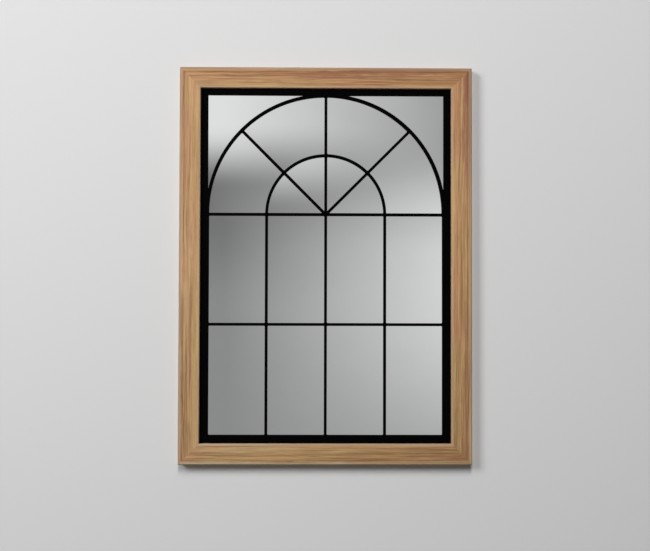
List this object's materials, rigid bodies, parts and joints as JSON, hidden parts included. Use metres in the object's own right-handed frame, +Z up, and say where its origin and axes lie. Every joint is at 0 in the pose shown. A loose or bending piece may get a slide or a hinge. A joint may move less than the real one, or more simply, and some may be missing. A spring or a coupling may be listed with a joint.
{
  "type": "wall mirror",
  "caption": "Rectangular wall mirror in a mitred natural wood frame, with a black iron grille over the glass drawn as an arched fanlight window, hung by swinging rings on the back.",
  "frame": {"origin": "on the wall plane, midway between the two wall hooks, at the height where they carry the raised rings", "axes": "+X to the right seen from the room, +Y into the wall, +Z up"},
  "size_m": [0.59, 0.0282, 0.8],
  "materials": {
    "frame_wood": "matt oiled natural wood",
    "black_iron": "matt black powder coat",
    "mirror": "silvered float glass",
    "card": "grey card",
    "hardboard": "smooth hardboard",
    "zinc_steel": "zinc plated",
    "rubber": "matt black rubber"
  },
  "bodies": {
    "frame": {"backing_board": "hardboard", "bumper_left": "rubber", "bumper_right": "rubber", "card_sheet": "card", "grille_bottom_bar": "black_iron", "grille_centre_mullion": "black_iron", "grille_inner_arch": "black_iron", "grille_left_bar": "black_iron", "grille_left_radial": "black_iron", "grille_lower_cross_bar": "black_iron", "grille_outer_arch": "black_iron", "grille_right_bar": "black_iron", "grille_right_radial": "black_iron", "grille_top_bar": "black_iron", "grille_upper_cross_bar": "black_iron", "hanger_screws": "zinc_steel", "hanger_strap_left": "zinc_steel", "hanger_strap_right": "zinc_steel", "mirror_glass": "mirror", "mitre_nails": "zinc_steel", "setting_blocks": "rubber", "turn_button_screws": "zinc_steel", "wood_bottom_rail": "frame_wood", "wood_left_stile": "frame_wood", "wood_right_stile": "frame_wood", "wood_top_rail": "frame_wood"},
    "d_ring_left": {"d_ring_left": "zinc_steel"},
    "d_ring_right": {"d_ring_right": "zinc_steel"},
    "turn_button_left_upper": {"turn_button_left_upper": "zinc_steel"},
    "turn_button_left_lower": {"turn_button_left_lower": "zinc_steel"},
    "turn_button_right_upper": {"turn_button_right_upper": "zinc_steel"},
    "turn_button_right_lower": {"turn_button_right_lower": "zinc_steel"},
    "turn_button_top_left": {"turn_button_top_left": "zinc_steel"},
    "turn_button_top_right": {"turn_button_top_right": "zinc_steel"},
    "turn_button_bottom_left": {"turn_button_bottom_left": "zinc_steel"},
    "turn_button_bottom_right": {"turn_button_bottom_right": "zinc_steel"}
  },
  "joints": [
    {"name": "d_ring_left_swing", "type": "hinge", "parent": "frame", "child": "d_ring_left", "pos_m": [-0.2775, -0.00345, -0.0163], "axis": [1, 0, 0], "range_deg": [0, 175.7]},
    {"name": "d_ring_right_swing", "type": "hinge", "parent": "frame", "child": "d_ring_right", "pos_m": [0.2775, -0.00345, -0.0163], "axis": [1, 0, 0], "range_deg": [0, 175.7]},
    {"name": "turn_button_left_upper_swivel", "type": "hinge", "parent": "frame", "child": "turn_button_left_upper", "pos_m": [-0.269, -0.00465, -0.106], "axis": [0, 1, 0], "continuous": true},
    {"name": "turn_button_left_lower_swivel", "type": "hinge", "parent": "frame", "child": "turn_button_left_lower", "pos_m": [-0.269, -0.00465, -0.39], "axis": [0, 1, 0], "continuous": true},
    {"name": "turn_button_right_upper_swivel", "type": "hinge", "parent": "frame", "child": "turn_button_right_upper", "pos_m": [0.269, -0.00465, -0.106], "axis": [0, 1, 0], "continuous": true},
    {"name": "turn_button_right_lower_swivel", "type": "hinge", "parent": "frame", "child": "turn_button_right_lower", "pos_m": [0.269, -0.00465, -0.39], "axis": [0, 1, 0], "continuous": true},
    {"name": "turn_button_top_left_swivel", "type": "hinge", "parent": "frame", "child": "turn_button_top_left", "pos_m": [-0.13, -0.00465, 0.154], "axis": [0, 1, 0], "continuous": true},
    {"name": "turn_button_top_right_swivel", "type": "hinge", "parent": "frame", "child": "turn_button_top_right", "pos_m": [0.13, -0.00465, 0.154], "axis": [0, 1, 0], "continuous": true},
    {"name": "turn_button_bottom_left_swivel", "type": "hinge", "parent": "frame", "child": "turn_button_bottom_left", "pos_m": [-0.13, -0.00465, -0.594], "axis": [0, 1, 0], "continuous": true},
    {"name": "turn_button_bottom_right_swivel", "type": "hinge", "parent": "frame", "child": "turn_button_bottom_right", "pos_m": [0.13, -0.00465, -0.594], "axis": [0, 1, 0], "continuous": true}
  ]
}
